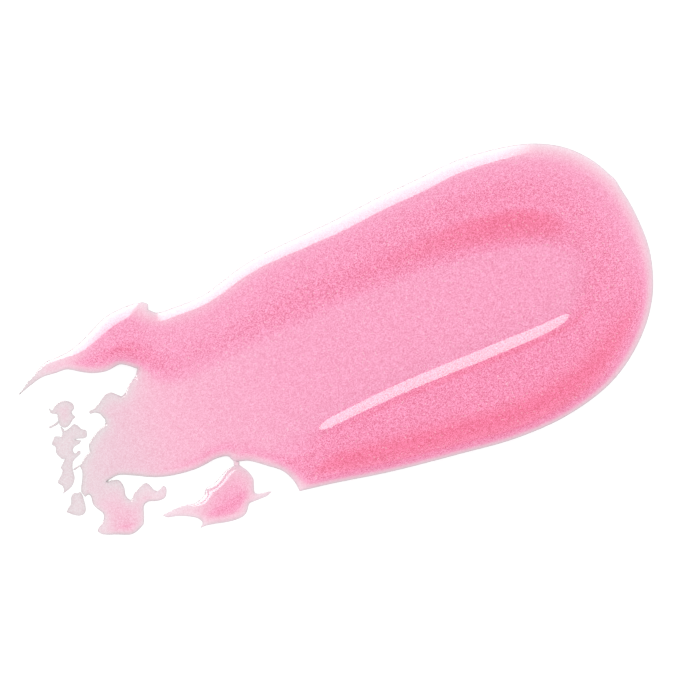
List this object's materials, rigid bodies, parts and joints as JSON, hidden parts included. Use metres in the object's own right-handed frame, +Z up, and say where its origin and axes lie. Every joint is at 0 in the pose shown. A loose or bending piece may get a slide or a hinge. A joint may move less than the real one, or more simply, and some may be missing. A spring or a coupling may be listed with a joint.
{
  "type": "lip gloss smear",
  "caption": "Stroke of pearly pink lip gloss with a thick round head, raised edges and a thin torn tail with loose flecks.",
  "frame": {"origin": "on the flat underside, under the middle of the whole smear's box", "axes": "+X along the stroke from the torn tail to the round head, +Y across it towards the side with the spur, +Z up from the surface it lies on"},
  "size_m": [0.045, 0.0196, 0.0025],
  "materials": {
    "gloss_body": "gloss",
    "gloss_drop": "gloss",
    "gloss_film": "gloss"
  },
  "bodies": {
    "root": {"main_smear": "gloss_body", "leaf_drop": "gloss_drop", "leaf_neck": "gloss_drop", "top_fleck": "gloss_film", "tick_fleck": "gloss_film", "top_link": "gloss_film", "column_fleck": "gloss_film", "column_thread": "gloss_film", "foot_fleck": "gloss_film"}
  },
  "joints": []
}
